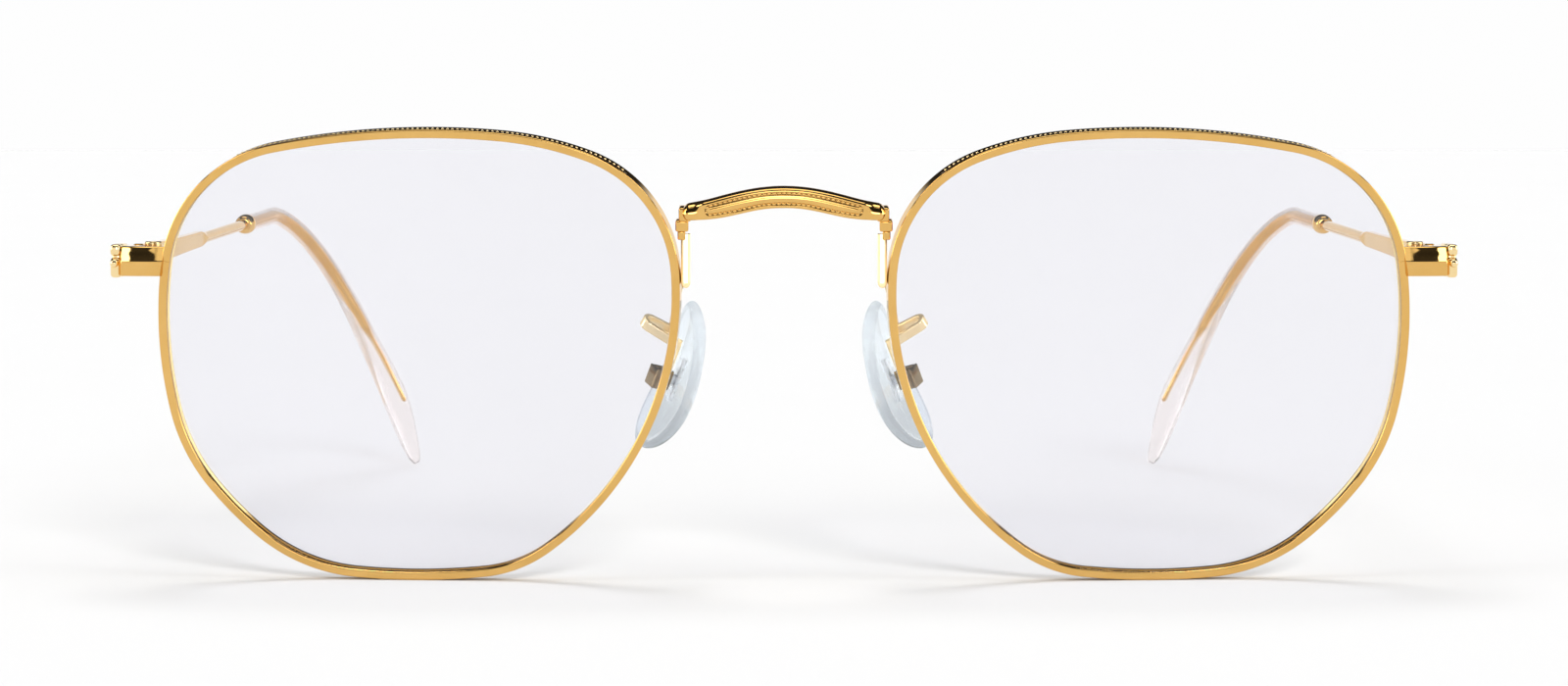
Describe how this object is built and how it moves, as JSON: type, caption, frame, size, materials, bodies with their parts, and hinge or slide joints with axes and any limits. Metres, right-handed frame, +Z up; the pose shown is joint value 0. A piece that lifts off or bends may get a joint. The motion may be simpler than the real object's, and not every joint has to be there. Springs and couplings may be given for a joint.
{
  "type": "eyeglasses",
  "caption": "Full-rim metal eyeglasses with soft hexagonal lenses, an arched beaded bridge, rocking nose pads and folding temples with clear tips.",
  "frame": {"origin": "centre of the outline on the surface the open glasses stand on", "axes": "+X the wearer's left, -Y the way the wearer looks, +Z up"},
  "size_m": [0.1368, 0.1324, 0.0466],
  "materials": {
    "gold": "polished, gold plated",
    "screw_gold": "polished, gold plated",
    "insert_steel": "satin white metal, moulded in the pad",
    "lens_clear": "clear, faint coating tint",
    "tip_clear": "clear acetate, polished",
    "pad_clear": "clear soft silicone"
  },
  "bodies": {
    "front": {"bridge": "gold", "rim_right": "gold", "lens_right": "lens_clear", "endpiece_right": "gold", "endpiece_plate_right": "gold", "endpiece_stud_right": "gold", "closing_block_upper_right": "gold", "closing_block_lower_right": "gold", "rim_screw_right": "screw_gold", "hinge_front_right": "gold", "hinge_screw_right": "screw_gold", "pad_arm_right": "gold", "pad_box_right": "gold", "pad_screw_right": "screw_gold", "rim_left": "gold", "lens_left": "lens_clear", "endpiece_left": "gold", "endpiece_plate_left": "gold", "endpiece_stud_left": "gold", "closing_block_upper_left": "gold", "closing_block_lower_left": "gold", "rim_screw_left": "screw_gold", "hinge_front_left": "gold", "hinge_screw_left": "screw_gold", "pad_arm_left": "gold", "pad_box_left": "gold", "pad_screw_left": "screw_gold"},
    "temple_right": {"temple_right": "gold", "hinge_temple_right": "gold", "ferrule_right": "gold", "temple_tip_right": "tip_clear"},
    "pad_right": {"nose_pad_right": "pad_clear", "pad_insert_right": "insert_steel"},
    "temple_left": {"temple_left": "gold", "hinge_temple_left": "gold", "ferrule_left": "gold", "temple_tip_left": "tip_clear"},
    "pad_left": {"nose_pad_left": "pad_clear", "pad_insert_left": "insert_steel"}
  },
  "joints": [
    {"name": "temple_right_fold", "type": "hinge", "parent": "front", "child": "temple_right", "pos_m": [-0.06475, -0.05537, 0.03295], "axis": [0, 0, -1], "range_deg": [0, 82]},
    {"name": "pad_right_rock", "type": "hinge", "parent": "front", "child": "pad_right", "pos_m": [-0.01282, -0.05534, 0.0209], "axis": [-0.4196, 0.8603, 0.2897], "range_deg": [-5, 5]},
    {"name": "temple_left_fold", "type": "hinge", "parent": "front", "child": "temple_left", "pos_m": [0.06475, -0.05537, 0.03295], "axis": [0, 0, 1], "range_deg": [0, 66]},
    {"name": "pad_left_rock", "type": "hinge", "parent": "front", "child": "pad_left", "pos_m": [0.01282, -0.05534, 0.0209], "axis": [0.4196, 0.8603, 0.2897], "range_deg": [-5, 5]}
  ]
}
